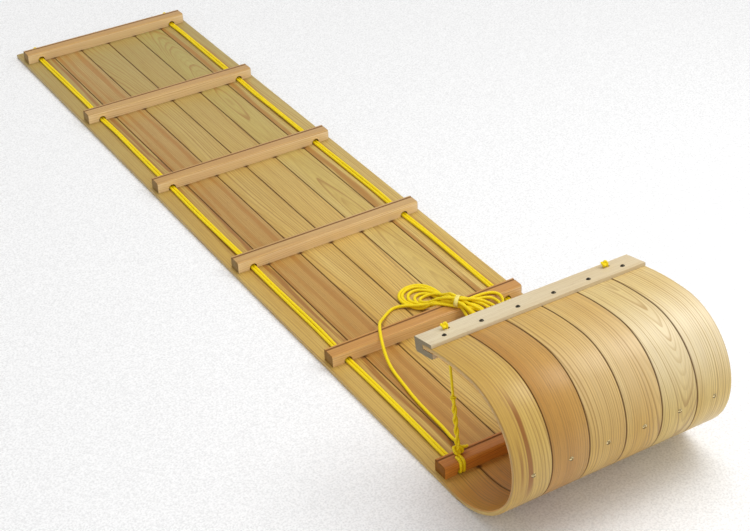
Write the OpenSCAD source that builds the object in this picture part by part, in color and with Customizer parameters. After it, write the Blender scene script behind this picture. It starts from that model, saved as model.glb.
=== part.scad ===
// Wooden toboggan: six bent slats on crossbars, a slotted nose bar, hand lines and a pull cord.
// Millimetres, +Z up. The curl faces -Y. The origin is under the middle of the box, on the ground.

/* [Deck] */
// Width over all the slats
deck_w = 457.2; // [400:0.1:560]
// Length of the flat deck, from the start of the curl to the rear end
flat_len = 2065; // [1800:1:2500]
// Number of slats side by side
slat_count = 6; // [4:1:8]
// Slat thickness
slat_t = 9.5; // [8:0.1:12]
// Open joint between two slats
slat_gap = 0.8; // [0.4:0.1:2]
// Bevel along the slats' long edges
slat_bevel = 1.6; // [0.5:0.1:2.5]

/* [Curl] */
// Radius of the first bend, where the slats leave the ground
low_bend_r = 200; // [160:1:260]
// Radius of the round front of the curl
front_bend_r = 132; // [120:1:160]
// Radius of the flat bend over the top
top_bend_r = 520; // [400:1:700]
// How far the slats slope down towards the rear when they reach the nose bar
top_bend_a = 12.5; // [8:0.5:16]

/* [Crossbars] */
// Number of crossbars on the deck
bar_count = 6; // [4:1:6]
// Distance from one crossbar to the next
bar_pitch = 392.7; // [320:0.1:400]
// Distance from the start of the curl to the front crossbar
bar_setback = 30; // [20:1:60]
// Crossbar size along the deck
bar_w = 32; // [26:0.5:44]
// Crossbar height
bar_h = 25; // [22:0.5:32]
// Distance from the deck's edge to the end of a crossbar
bar_inset = 6.5; // [2:0.5:12]
// Radius of the front top edge
bar_round = 5; // [2:0.5:8]

/* [Nose bar] */
// Nose bar size along the slats
nose_w = 54; // [48:0.5:70]
// Wood above the slot
nose_lip = 7; // [5:0.5:10]
// Wood below the slot
nose_under = 11.5; // [9:0.5:16]
// Depth of the slot that takes the slats' ends
nose_slot = 30; // [26:0.5:32]
// Radius of the lower edges
nose_round = 4; // [2:0.5:6]

/* [Batten] */
// Batten thickness inside the curl
batten_t = 15; // [10:0.5:20]
// Batten width, as an angle of the front bend
batten_a = 14; // [10:1:20]
// Distance from the deck's edge to the end of the batten
batten_inset = 26; // [20:1:50]

/* [Cord] */
// Diameter of all the cord
cord_d = 6.4; // [5:0.1:8]
// Distance from the deck's edge to the middle of a hand line
line_inset = 42; // [36:0.5:46]
// Width of the notch that a hand line passes through
notch_w = 18; // [16:0.5:20]
// Height of that notch
notch_h = 12; // [10:0.5:13]
// Distance from the deck's edge to a cord hole in the nose bar
hole_inset = 57; // [50:0.5:66]
// Diameter of a cord hole in the nose bar
hole_d = 10; // [8:0.5:12]
// Diameter of a stopper knot
knot_d = 19; // [16:0.5:19.5]

/* [Screws] */
// Screw shank diameter
shank_d = 4.2; // [3.5:0.1:5]
// Screw head diameter
head_d = 9; // [7:0.1:10]
// Height of a round screw head
head_h = 2.8; // [2:0.1:3.5]
// Length of a deck screw
deck_screw_len = 27; // [20:0.5:29]

/* [Hidden] */
$fn = 48;
fit = 0.15;        // clearance between wood pieces
air = 0.1;         // clearance under and beside a cord
eps = 1;           // how far a cut runs past a face
low_bend_dir = [-0.8, -0.6]; // where the first bend ends, as seen from its centre (53.13 degrees on)
groove_d = 2;      // shallow groove along the rear of a crossbar's top
bead_w = 7;        // distance from that groove to the rear face
bead_cut = 2.4;    // side of the square that takes off the bead's rear edge
slot_w = 1;        // width of a screwdriver slot
flat_slot = 1.6;   // its depth in a flat head
recess = 0.4;      // how far a deck screw lies under the surface
nose_cover = 2;    // wood left under a nose screw's tip
batten_cover = 3;  // wood left behind a curl screw's tip

pitch = deck_w / slat_count;
nose_screw_len = nose_lip + slat_t + nose_under - nose_cover;
curl_screw_len = slat_t + batten_t - batten_cover;
slat_w = pitch - slat_gap;
bar_l = deck_w - 2 * bar_inset;
line_x = deck_w / 2 - line_inset;
hole_x = deck_w / 2 - hole_inset;
deck_cord_z = slat_t + air + cord_d / 2;
bar_top = slat_t + bar_h;
strand_gap = cord_d / 2 + air;

// The curl in the Y-Z plane, from the start of the curl: three tangent bends
bend_drop = low_bend_r - front_bend_r;
front_c = [0, low_bend_r] + bend_drop * low_bend_dir;
top_c = [front_c[0], front_c[1] + front_bend_r - top_bend_r];
end_a = 180 + top_bend_a;
slot_a = nose_slot / top_bend_r * 180 / PI;
slot_end_a = 2 * fit / top_bend_r * 180 / PI;
nose_at = top_c - top_bend_r * [sin(end_a), cos(end_a)];
front_reach = front_bend_r - front_c[0] + head_h;
curl_y = round((front_reach - flat_len) * 5) / 10;
bar_y = [for (i = [0 : bar_count - 1]) curl_y + bar_setback + i * bar_pitch];
front_bar_y = bar_y[0];
rear_bar_y = bar_y[bar_count - 1];

// Knots and ties
knot_back = 7;     // how far a hand line runs back over the front crossbar to its knot
knot_w = knot_d + 7;
knot_x = line_x - 6;
knot_y = front_bar_y + bar_round + knot_back + air + knot_d / 2;
tail_len = 15.5;   // the cord's end past a knot
cord_bend = 3;     // inside radius where a hand line turns up the front crossbar
line_end = 3;      // how far a hand line runs on behind the rear crossbar
tie_rise = 1.2;    // gap between a knot and the strand above it
twist_d = 1.6 * cord_d; // the doubled lower part of a tie
nose_knot_w = 15;
nose_knot_d = 12;
nose_knot_x = -5;  // from the hole to the middle of its knot, the same way at both holes
cord_in_hole = (hole_d - cord_d) / 2 - air;
function nose_point(x, u, w) = [x, curl_y + nose_at[0], nose_at[1]]
    + u * [0, cos(top_bend_a), -sin(top_bend_a)] + w * [0, sin(top_bend_a), cos(top_bend_a)];

// Rows of screws
nose_screw_u = 17;
cord_hole_u = 38;
screw_aside = 20;
slat_x = [for (i = [0 : slat_count - 1]) (i + 0.5) * pitch - deck_w / 2];
function screw_xs(x) = abs(abs(x) - line_x) < screw_aside
    ? [for (s = [-1, 1]) sign(x) * line_x + s * screw_aside] : [x];

// The pull cord's route, from the front crossbar's front face: right stretch, then left stretch
right_route = [
    [-173, 38, 44], [-166, 49, 38], [-158, 60, 28], [-152, 74, 18], [-149, 92, 13], [-147, 120, 12.8],
    [-147, 150, 12.8], [-146, 185, 12.8], [-145, 220, 12.8], [-141, 250, 12.8], [-137, 280, 12.8],
    [-135, 305, 13.5], [-133, 325, 16], [-130, 345, 22], [-124, 366, 31], [-118, 382, 36.5],
    [-112, 396, 38], [-104, 412, 38], [-96, 426, 38], [-88, 440, 34], [-78, 453, 26], [-67, 466, 18],
    [-55, 478, 13.5], [-42, 488, 12.8], [-28, 496, 12.8], [-19, 499, 12.8], [-9, 501, 12.8]];
left_route = [
    [144, 321, 13], [147, 308, 12.8], [152, 292, 12.8], [156, 276, 12.8], [159, 258, 12.8],
    [161, 232, 12.8], [161, 205, 12.8], [159, 175, 12.8], [156, 145, 12.8], [153, 118, 12.8],
    [151, 92, 13], [153, 74, 18], [159, 60, 28], [166, 49, 38], [173, 38, 44]];
cord_sides = 10;

// The hank, from the front crossbar's front face: [x, y, lowest z, radius] of its round places
hank_h = 14;
hank_low = 9.8;
hank_on_bar = 38.5;
hank_back = [28, 490, hank_low, 36];
hank_rear = [50, 449, hank_on_bar, 20];
neck_rear = [66, 412, hank_on_bar, 12];
neck_front = [80, 396, hank_on_bar, 12];
hank_fore = [98, 374, hank_on_bar, 17];
hank_front = [140, 345, hank_low, 22];
wrap_w = 9;
wrap_t = 2.6;

// ---- places ----

module at_curl() translate([0, curl_y, 0]) children();

module at_nose() at_curl() translate([0, nose_at[0], nose_at[1]]) rotate([180 - end_a, 0, 0]) children();

module along_y(len) rotate([90, 0, 0]) translate([0, 0, -len]) linear_extrude(len) children();

module along_x(len) rotate([90, 0, 90]) translate([0, 0, -len / 2]) linear_extrude(len) children();

// About a bend's centre c: the Y-Z plane becomes the X-Y plane of what is drawn
module at_bend(c) at_curl() translate([0, c[0], c[1]]) rotate([90, 0, 90]) children();

// The part of a full ring of radius r that lies between the corners of a wedge
module bend(c, r, wedge) at_bend(c) intersection() {
    rotate_extrude($fn = 240) children();
    translate([0, 0, -deck_w]) linear_extrude(2 * deck_w) polygon(concat([[0, 0]], 2 * r * wedge));
}

// A ring over the top, from heading 180 + a1 to 180 + a2
module top_bend(a1, a2) at_bend(top_c)
    rotate_extrude(angle = a2 - a1, start = 90 - a2, $fn = 720) children();

module mirrored(side) mirror([side > 0 ? 1 : 0, 0, 0]) children();

module rod(p, q, d) translate(p)
    rotate([0, acos((q[2] - p[2]) / norm(q - p)), atan2(q[1] - p[1], q[0] - p[0])])
    cylinder(h = norm(q - p), d = d);

// ---- screws ----

module cross_slot(size, depth) for (a = [0, 90]) rotate(a)
    translate([-size / 2, -slot_w / 2, -depth]) cube([size, slot_w, depth + eps]);

// A round-head screw: the head sits on z = 0 and the shank points down
module round_screw(len) difference() {
    ball_r = (pow(head_d / 2, 2) + pow(head_h, 2)) / (2 * head_h);
    union() {
        intersection() {
            translate([0, 0, head_h - ball_r]) sphere(ball_r);
            cylinder(h = head_h + eps, d = head_d);
        }
        translate([0, 0, -len]) cylinder(h = len, d = shank_d);
    }
    translate([0, 0, head_h]) cross_slot(head_d * 0.55, head_h * 0.6);
}

// A countersunk screw: the flat head faces down at z = 0 and the shank points up
module flat_screw(len) difference() {
    union() {
        cylinder(h = head_d / 2, d1 = head_d, d2 = 0);
        cylinder(h = len, d = shank_d);
    }
    mirror([0, 0, 1]) cross_slot(head_d * 0.5, flat_slot);
}

module deck_screw_places() for (x = slat_x, y = bar_y, sx = screw_xs(x))
    translate([sx, y + bar_w / 2, recess]) children();

module curl_screw_places() for (x = slat_x)
    at_curl() translate([x, front_c[0] - front_bend_r, front_c[1]]) rotate([90, 0, 0]) children();

module nose_screw_places() for (x = slat_x)
    at_nose() translate([x, nose_screw_u, nose_lip]) children();

// ---- wood ----

// Section of a slat, from its outer face (y = 0) inwards
module slat_section() {
    x = slat_w / 2;
    inner_x = x - slat_bevel;
    inner_y = slat_t - slat_bevel;
    polygon([[-inner_x, 0], [inner_x, 0], [x, slat_bevel], [x, inner_y],
        [inner_x, slat_t], [-inner_x, slat_t], [-x, inner_y], [-x, slat_bevel]]);
}

module bent_slat(i) {
    x = slat_x[i];
    difference() {
        union() {
            translate([x, curl_y, 0]) along_y(flat_len) slat_section();
            bend([0, low_bend_r], low_bend_r, [[0, -1], low_bend_dir]) slat_side(low_bend_r, x);
            bend(front_c, front_bend_r, [low_bend_dir, [-1, 0], [-1, 1], [0, 1]]) slat_side(front_bend_r, x);
            top_bend(0, top_bend_a + slot_a) slat_side(top_bend_r, x);
        }
        for (y = bar_y, sx = screw_xs(x)) translate([sx, y + bar_w / 2, -eps]) {
            cylinder(h = slat_t + 2 * eps, d = shank_d + 2 * fit);
            cylinder(h = recess + eps + fit + head_d / 2, d1 = head_d + 2 * (recess + eps + fit), d2 = 0);
        }
        at_curl() translate([x, front_c[0] - front_bend_r - eps, front_c[1]]) rotate([-90, 0, 0])
            cylinder(h = slat_t + 2 * eps, d = shank_d + 2 * fit);
        at_nose() translate([x, nose_screw_u, -slat_t - eps])
            cylinder(h = slat_t + 2 * eps, d = shank_d + 2 * fit);
    }
}

// The slat's section standing at radius r, its inner face towards the centre
module slat_side(r, x) translate([r, x]) rotate(90) slat_section();

module crossbar_section() difference() {
    translate([0, slat_t]) square([bar_w, bar_h]);
    translate([bar_round, bar_top - bar_round]) difference() {
        translate([-bar_round - eps, 0]) square(bar_round + eps);
        circle(bar_round);
    }
    translate([bar_w - bead_w, bar_top + groove_d / 4]) circle(d = groove_d, $fn = 24);
    translate([bar_w, bar_top]) rotate(45) square(bead_cut, center = true);
}

module crossbar(y) color("burlywood") difference() {
    side_h = notch_h - notch_w / 2;
    notch_l = bar_w + 2 * eps;
    translate([0, y, 0]) along_x(bar_l) crossbar_section();
    for (s = [-1, 1]) translate([s * line_x, y - eps, slat_t]) {
        translate([-notch_w / 2, 0, -eps]) cube([notch_w, notch_l, side_h + eps]);
        translate([0, 0, side_h]) rotate([-90, 0, 0]) cylinder(h = notch_l, d = notch_w);
    }
    for (x = slat_x, sx = screw_xs(x)) translate([sx, y + bar_w / 2, slat_t - eps])
        cylinder(h = recess + deck_screw_len - slat_t + eps + fit, d = shank_d + 2 * fit);
}

module nose_section() difference() {
    low = -slat_t - fit - nose_under;
    translate([0, low]) square([nose_w, nose_lip - low]);
    for (m = [0, 1]) translate([m * nose_w, 0]) mirror([m, 0]) translate([nose_round, low + nose_round])
        difference() {
            translate([-nose_round - eps, -nose_round - eps]) square(nose_round + eps);
            circle(nose_round);
        }
}

module nose_bar() color("wheat") difference() {
    at_nose() along_x(deck_w) nose_section();
    top_bend(top_bend_a - 1, top_bend_a + slot_a + slot_end_a)
        translate([top_bend_r - slat_t - fit, -deck_w / 2 - eps])
        square([slat_t + 2 * fit, deck_w + 2 * eps]);
    nose_screw_places() translate([0, 0, -nose_screw_len - fit])
        cylinder(h = nose_screw_len + fit + eps, d = shank_d + 2 * fit);
    for (s = [-1, 1]) at_nose() translate([s * hole_x, cord_hole_u, -slat_t - nose_under - 2 * eps])
        cylinder(h = slat_t + nose_under + nose_lip + 4 * eps, d = hole_d);
}

module curl_batten() color("burlywood") difference() {
    r = front_bend_r - slat_t - fit;
    at_bend(front_c) rotate_extrude(angle = batten_a, start = 180 - batten_a / 2, $fn = 240)
        translate([r - batten_t, -deck_w / 2 + batten_inset]) square([batten_t, deck_w - 2 * batten_inset]);
    curl_screw_places() translate([0, 0, -curl_screw_len - fit])
        cylinder(h = curl_screw_len + fit, d = shank_d + 2 * fit);
}

// ---- cord pieces ----

// One strand of a hand line: up over the front crossbar's face, through every notch, to the rear
module line_strand(x) {
    low_r = cord_d / 2 + cord_bend;
    face = front_bar_y - air - cord_d / 2;
    high_r = bar_round + cord_d / 2 + air;
    color("gold") {
        translate([x, face + high_r, bar_top + cord_d / 2 + air]) rotate([-90, 0, 0])
            cylinder(h = knot_back, d = cord_d);
        translate([x, face + low_r, deck_cord_z]) rotate([-90, 0, 0])
            cylinder(h = rear_bar_y + bar_w + line_end - face - low_r, d = cord_d);
        translate([x, face + low_r, deck_cord_z + low_r]) rotate([90, 0, 90]) rotate(180)
            rotate_extrude(angle = 90) translate([low_r, 0]) circle(d = cord_d);
        translate([x, face, deck_cord_z + low_r])
            cylinder(h = bar_top - bar_round - deck_cord_z - low_r, d = cord_d);
        translate([x, face + high_r, bar_top - bar_round]) rotate([90, 0, 90]) rotate(90)
            rotate_extrude(angle = 90) translate([high_r, 0]) circle(d = cord_d);
    }
}

module hand_line(side) for (s = [-1, 1]) line_strand(side * line_x + s * strand_gap);

// A barrel with round edges, lying along x on z = 0
module barrel(len, d) translate([-len / 2, 0, d / 2]) rotate([0, 90, 0]) rotate_extrude() {
    edge = d / 4;
    square([d / 2 - edge, len]);
    translate([0, edge]) square([d / 2, len - 2 * edge]);
    for (h = [edge, len - edge]) translate([d / 2 - edge, h]) circle(edge);
}

module rear_knot(side) color("gold")
    translate([side * line_x, rear_bar_y + bar_w + line_end + air + knot_d / 2, slat_t + air])
    barrel(knot_d, knot_d);

module tie_knot(side) mirrored(side) color("gold") translate([-knot_x, knot_y, bar_top + air]) {
    barrel(knot_w, knot_d);
    translate([knot_d / 2, 1, cord_d]) rotate([0, 90, 0]) cylinder(h = tail_len, d = cord_d);
}

// The tie runs up from the knot, doubled over its lower part, and through its hole in the nose bar
module curl_tie(side) mirrored(side) color("gold") {
    low = [-knot_x, knot_y, bar_top + knot_d + tie_rise];
    top = nose_point(-hole_x - cord_in_hole / 3, cord_hole_u, nose_lip - tie_rise / 2);
    rod(low, low + 0.4 * (top - low), twist_d);
    rod(low + 0.3 * (top - low), top, cord_d);
}

module nose_knot(side) color("gold") at_nose()
    translate([side * hole_x + nose_knot_x, cord_hole_u, nose_lip + air]) barrel(nose_knot_w, nose_knot_d);

// A tube of cord_sides along the points of a route
function dir_at(p, i) = let (a = p[max(i - 1, 0)], b = p[min(i + 1, len(p) - 1)]) (b - a) / norm(b - a);
function side_of(d) = let (s = cross(d, [0, 0, 1])) s / norm(s);
module cord_tube(route) {
    n = len(route);
    rings = [for (i = [0 : n - 1]) let (d = dir_at(route, i), s = side_of(d), u = cross(s, d))
        for (k = [0 : cord_sides - 1]) let (a = 360 * k / cord_sides)
            route[i] + cord_d / 2 * (cos(a) * s + sin(a) * u)];
    walls = [for (i = [0 : n - 2], k = [0 : cord_sides - 1])
        let (j = (k + 1) % cord_sides, b = i * cord_sides)
        [b + k, b + cord_sides + k, b + cord_sides + j, b + j]];
    polyhedron(rings, concat([[for (k = [0 : cord_sides - 1]) k]], walls,
        [[for (k = [cord_sides - 1 : -1 : 0]) (n - 1) * cord_sides + k]]));
}

module at_bar() translate([0, front_bar_y, 0]) children();

module hank_round(p) translate([p[0], p[1], p[2]]) cylinder(h = hank_h, r = p[3], $fn = 32);

module pull_cord_hank() color("gold") at_bar() {
    hull() { hank_round(hank_back); hank_round(hank_rear); }
    hull() { hank_round(hank_rear); hank_round(neck_rear); }
    hull() { hank_round(neck_rear); hank_round(neck_front); }
    hull() { hank_round(neck_front); hank_round(hank_fore); }
    hull() { hank_round(hank_fore); hank_round(hank_front); }
}

module hank_wrap() color("khaki") at_bar() {
    mid = (neck_rear + neck_front) / 2;
    run = neck_front - neck_rear;
    translate([mid[0], mid[1], hank_on_bar + hank_h / 2]) rotate(atan2(run[1], run[0])) difference() {
        wide = 2 * neck_rear[3] + 2 * air;
        high = hank_h + 2 * air;
        cube([wrap_w, wide + 2 * wrap_t, high + 2 * wrap_t], center = true);
        cube([wrap_w + 2 * eps, wide, high], center = true);
    }
}

// ---- nodes ----

color("navajowhite") bent_slat(0);  // slat_1
color("tan") bent_slat(1);  // slat_2
color("navajowhite") bent_slat(2);  // slat_3
color("tan") bent_slat(3);  // slat_4
color("wheat") bent_slat(4);  // slat_5
color("navajowhite") bent_slat(5);  // slat_6
crossbar(bar_y[0]);  // front_crossbar
crossbar(bar_y[1]);  // crossbar_2
crossbar(bar_y[2]);  // crossbar_3
crossbar(bar_y[3]);  // crossbar_4
crossbar(bar_y[4]);  // crossbar_5
crossbar(bar_y[5]);  // rear_crossbar
nose_bar();
curl_batten();
color("dimgray") nose_screw_places() round_screw(nose_screw_len);  // nose_screws
color("goldenrod") curl_screw_places() round_screw(curl_screw_len);  // curl_screws
color("goldenrod") deck_screw_places() flat_screw(deck_screw_len);  // deck_screws
hand_line(-1);  // hand_line_right
hand_line(1);  // hand_line_left
rear_knot(-1);  // rear_knot_right
rear_knot(1);  // rear_knot_left
tie_knot(-1);  // tie_knot_right
tie_knot(1);  // tie_knot_left
curl_tie(-1);  // curl_tie_right
curl_tie(1);  // curl_tie_left
nose_knot(-1);  // nose_knot_right
nose_knot(1);  // nose_knot_left
color("gold") at_bar() cord_tube(right_route);  // pull_cord_right
color("gold") at_bar() cord_tube(left_route);  // pull_cord_left
pull_cord_hank();
hank_wrap();
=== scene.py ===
import math

import bmesh
import bpy
import numpy as np
from mathutils import Matrix, Vector


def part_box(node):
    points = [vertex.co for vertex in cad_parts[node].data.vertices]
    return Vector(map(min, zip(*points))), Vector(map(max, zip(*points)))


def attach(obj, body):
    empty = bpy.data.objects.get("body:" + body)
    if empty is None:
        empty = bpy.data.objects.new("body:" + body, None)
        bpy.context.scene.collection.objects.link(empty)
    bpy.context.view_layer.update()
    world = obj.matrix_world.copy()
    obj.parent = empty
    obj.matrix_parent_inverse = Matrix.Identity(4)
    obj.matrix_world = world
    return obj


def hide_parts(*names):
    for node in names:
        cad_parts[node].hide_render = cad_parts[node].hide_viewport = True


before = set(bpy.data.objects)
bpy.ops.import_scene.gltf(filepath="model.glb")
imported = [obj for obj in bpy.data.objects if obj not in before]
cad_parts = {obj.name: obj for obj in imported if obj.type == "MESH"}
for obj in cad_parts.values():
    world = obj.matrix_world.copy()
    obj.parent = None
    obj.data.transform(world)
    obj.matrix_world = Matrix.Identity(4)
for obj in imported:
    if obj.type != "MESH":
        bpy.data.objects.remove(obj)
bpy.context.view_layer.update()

# metres, +Z up, the curl faces -Y
deck = {"slats": 6, "width": 0.4572, "thick": 0.0095, "gap": 0.0008, "edge": 0.0016}
curl = {"lowRadius": 0.2, "lowAngle": math.atan2(0.8, 0.6), "frontRadius": 0.132, "topRadius": 0.52,
        "topAngle": math.radians(12.5), "slotDepth": 0.03, "batten": 0.015}
bars = {"names": ["front_crossbar", "crossbar_2", "crossbar_3", "crossbar_4", "crossbar_5", "rear_crossbar"],
        "round": 0.005, "beadFromRear": 0.007, "ease": 0.0007, "notchWide": 0.018,
        "notchHigh": 0.012}
nose = {"wide": 0.054, "lip": 0.007, "under": 0.0115, "round": 0.004, "ease": 0.0009, "holeX": 0.1716,
        "holeIn": 0.038, "hole": 0.010, "fit": 0.00015}
cord = {"thick": 0.0064, "lineX": 0.1866}

pitch = deck["width"] / deck["slats"]
slatWide = pitch - deck["gap"]
slatX = [(i + 0.5) * pitch - deck["width"] / 2 for i in range(deck["slats"])]
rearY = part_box("slat_3")[1].y
barLow = [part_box(n)[0] for n in bars["names"]]
barHigh = [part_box(n)[1] for n in bars["names"]]
faceY = barLow[0].y
curlY = faceY - 0.030
barTop = barHigh[0].z
barWide = barHigh[0].y - barLow[0].y
lowC = Vector((0, curlY, curl["lowRadius"]))
drop = curl["lowRadius"] - curl["frontRadius"]
frontC = Vector((0, curlY - 0.8 * drop, curl["lowRadius"] - 0.6 * drop))
topC = Vector((0, frontC.y, frontC.z + curl["frontRadius"] - curl["topRadius"]))
noseAt = topC + curl["topRadius"] * Vector((0, math.sin(curl["topAngle"]), math.cos(curl["topAngle"])))


def nosePoint(x, back, up):
    tilt = curl["topAngle"]
    return noseAt + Vector((x, back * math.cos(tilt) + up * math.sin(tilt),
                            up * math.cos(tilt) - back * math.sin(tilt)))


# camera, above the near front corner
cameraSet = {"place": (-1.4581, -2.8182, 1.9626), "aim": (0.4195, 0.7220, -0.5502), "roll": -2.08,
             "lens": 81.26}
bpy.ops.object.camera_add(location=cameraSet["place"])
camera = bpy.context.object
camera.name = "sledCamera"
aim = Vector(cameraSet["aim"]).to_track_quat("-Z", "Y").to_matrix()
camera.rotation_euler = (aim @ Matrix.Rotation(math.radians(cameraSet["roll"]), 3, "Z")).to_euler()
camera.data.lens = cameraSet["lens"]
camera.data.sensor_width = 36
camera.data.clip_end = 60
bpy.context.scene.camera = camera
print("camera is set")


# cord shapes
def smoothLine(points, step):
    # a smooth line through the points, then even steps along it
    p = np.array(points, float)
    p = np.vstack([2 * p[0] - p[1], p, 2 * p[-1] - p[-2]])
    t = np.linspace(0, 1, 12, endpoint=False)[:, None]
    parts = []
    for a, b, c, d in zip(p, p[1:], p[2:], p[3:]):
        parts.append(0.5 * (2 * b + (c - a) * t + (2 * a - 5 * b + 4 * c - d) * t ** 2
                            + (3 * b - a - 3 * c + d) * t ** 3))
    return evenLine(np.vstack(parts + [p[-2:-1]]), step)


def evenLine(line, step):
    along = np.concatenate([[0], np.cumsum(np.linalg.norm(np.diff(line, axis=0), axis=1))])
    at = np.linspace(0, along[-1], max(3, int(along[-1] / step) + 1))
    return np.stack([np.interp(at, along, line[:, k]) for k in range(3)], axis=1)


braid = {"cells": 5, "cellLong": 0.0050, "relief": 0.00040, "step": 0.0012, "sides": 18}


def braidedCord(name, line, thick, step=None, sides=None):
    # sweeps a braided skin along the line: one low bump for each diamond of the braid
    step = step or braid["step"]
    sides = sides or braid["sides"]
    line = evenLine(np.array(line, float), step)
    count = len(line)
    heading = np.gradient(line, axis=0)
    heading /= np.linalg.norm(heading, axis=1)[:, None]
    side = np.cross(heading[0], [0.1, 0.2, 1.0])
    side /= np.linalg.norm(side)
    sideways = np.zeros((count, 3))
    for i in range(count):
        side = side - heading[i] * side.dot(heading[i])
        side /= np.linalg.norm(side)
        sideways[i] = side
    upward = np.cross(sideways, heading)
    turn = np.arange(sides) / sides
    along = np.linspace(0, 1, count) * np.linalg.norm(np.diff(line, axis=0), axis=1).sum()
    a = braid["cells"] * turn[None, :] + along[:, None] / braid["cellLong"]
    b = braid["cells"] * turn[None, :] - along[:, None] / braid["cellLong"]
    bump = np.sqrt(np.abs(np.sin(math.pi * a) * np.sin(math.pi * b)))
    radius = thick / 2 - braid["relief"] + braid["relief"] * 1.6 * bump
    radius[0] *= 0.8
    radius[-1] *= 0.8
    angle = 2 * math.pi * turn
    ring = (np.cos(angle)[None, :, None] * sideways[:, None, :]
            + np.sin(angle)[None, :, None] * upward[:, None, :])
    verts = (line[:, None, :] + radius[:, :, None] * ring).reshape(-1, 3)
    tips = [line[0] - heading[0] * thick * 0.12, line[-1] + heading[-1] * thick * 0.12]
    i, k = np.meshgrid(np.arange(count - 1), np.arange(sides), indexing="ij")
    j = (k + 1) % sides
    quads = np.stack([i * sides + k, i * sides + j, (i + 1) * sides + j, (i + 1) * sides + k],
                     -1).reshape(-1, 4)
    first, last = count * sides, count * sides + 1
    caps = [(first, (n + 1) % sides, n) for n in range(sides)]
    caps += [(last, (count - 1) * sides + n, (count - 1) * sides + (n + 1) % sides) for n in range(sides)]
    mesh = bpy.data.meshes.new(name)
    mesh.from_pydata(np.vstack([verts, tips]).tolist(), [], quads.tolist() + caps)
    uv = mesh.uv_layers.new(name="lay")
    long = along[i.reshape(-1)]
    longNext = along[i.reshape(-1) + 1]
    round0, round1 = k.reshape(-1) / sides, (k.reshape(-1) + 1) / sides
    corners = np.stack([np.stack([long, round0], -1), np.stack([long, round1], -1),
                        np.stack([longNext, round1], -1), np.stack([longNext, round0], -1)], 1).reshape(-1, 2)
    rest = np.zeros((len(caps) * 3, 2))
    uv.data.foreach_set("uv", np.vstack([corners, rest]).astype(np.float32).reshape(-1))
    mesh.polygons.foreach_set("use_smooth", [True] * len(mesh.polygons))
    mesh.update()
    piece = bpy.data.objects.new(name, mesh)
    bpy.context.scene.collection.objects.link(piece)
    return piece, line


def deselectAll():
    if bpy.context.mode != "OBJECT":
        bpy.ops.object.mode_set(mode="OBJECT")
    bpy.ops.object.select_all(action="DESELECT")


def choose(piece):
    deselectAll()
    piece.select_set(True)
    bpy.context.view_layer.objects.active = piece


def applyPlace():
    bpy.ops.object.transform_apply(location=True, rotation=True, scale=True)


def smoothBelow(degrees):
    bpy.ops.object.shade_smooth_by_angle(angle=math.radians(degrees))


def finishPiece(piece, finish, slot, *nodes):
    # gives the piece its material and puts it in the place of the CAD nodes
    piece.data.materials.append(finish)
    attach(piece, "root")
    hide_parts(*nodes)


def joined(name, pieces):
    deselectAll()
    for p in pieces:
        p.select_set(True)
    bpy.context.view_layer.objects.active = pieces[0]
    if len(pieces) > 1:
        bpy.ops.object.join()
    pieces[0].name = name
    pieces[0].data.name = name
    return pieces[0]


# the pull cord: its route is in millimetres from the front crossbar's front face
rightRoute = [(-173, 38, 44), (-166, 49, 38), (-158, 60, 28), (-152, 74, 18), (-149, 92, 13),
              (-147, 120, 12.8),
              (-147, 150, 12.8), (-146, 185, 12.8), (-145, 220, 12.8), (-141, 250, 12.8), (-137, 280, 12.8),
              (-135, 305, 13.5), (-133, 325, 16), (-130, 345, 22), (-124, 366, 31), (-118, 382, 36.5),
              (-112, 396, 38), (-104, 412, 38), (-96, 426, 38), (-88, 440, 34), (-78, 453, 26), (-67, 466, 18),
              (-55, 478, 13.5), (-42, 488, 12.8), (-28, 496, 12.8), (-19, 499, 12.8), (-9, 501, 12.8)]
leftRoute = [(144, 321, 13), (147, 308, 12.8), (152, 292, 12.8), (156, 276, 12.8), (159, 258, 12.8),
             (161, 232, 12.8), (161, 205, 12.8), (159, 175, 12.8), (156, 145, 12.8), (153, 118, 12.8),
             (151, 92, 13), (153, 74, 18), (159, 60, 28), (166, 49, 38), (173, 38, 44)]
hank = {"neck": (72, 405), "neckAcross": (0.75, 0.66), "neckGap": 5.8, "neckLayer": 5.0, "points": 26,
        "rearWay": (-36, 120), "rearLong": [142, 136, 124, 108, 94], "rearWide": [40, 36, 28, 24, 22],
        "foreWay": (60, -42), "foreLong": [98, 78, 92, 84, 88], "foreWide": [21, 20, 21, 20, 21],
        "foreTurn": [19, -28, 7, -14, -4]}


cordRest = 12.8  # how high a cord's middle lies on the deck
cordOver = 3.3  # and over a crossbar's top


def barHill(y):
    # the lowest that the middle of a cord lies, over the second crossbar and on the deck
    low, high = barLow[1].y - faceY, barHigh[1].y - faceY
    y = y / 1000
    out = max(low - y, y - high, 0) / 0.040
    lift = 1 - min(out, 1)
    lift = lift * lift * (3 - 2 * lift)
    return cordRest + lift * (barTop * 1000 + cordOver - cordRest)


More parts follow.
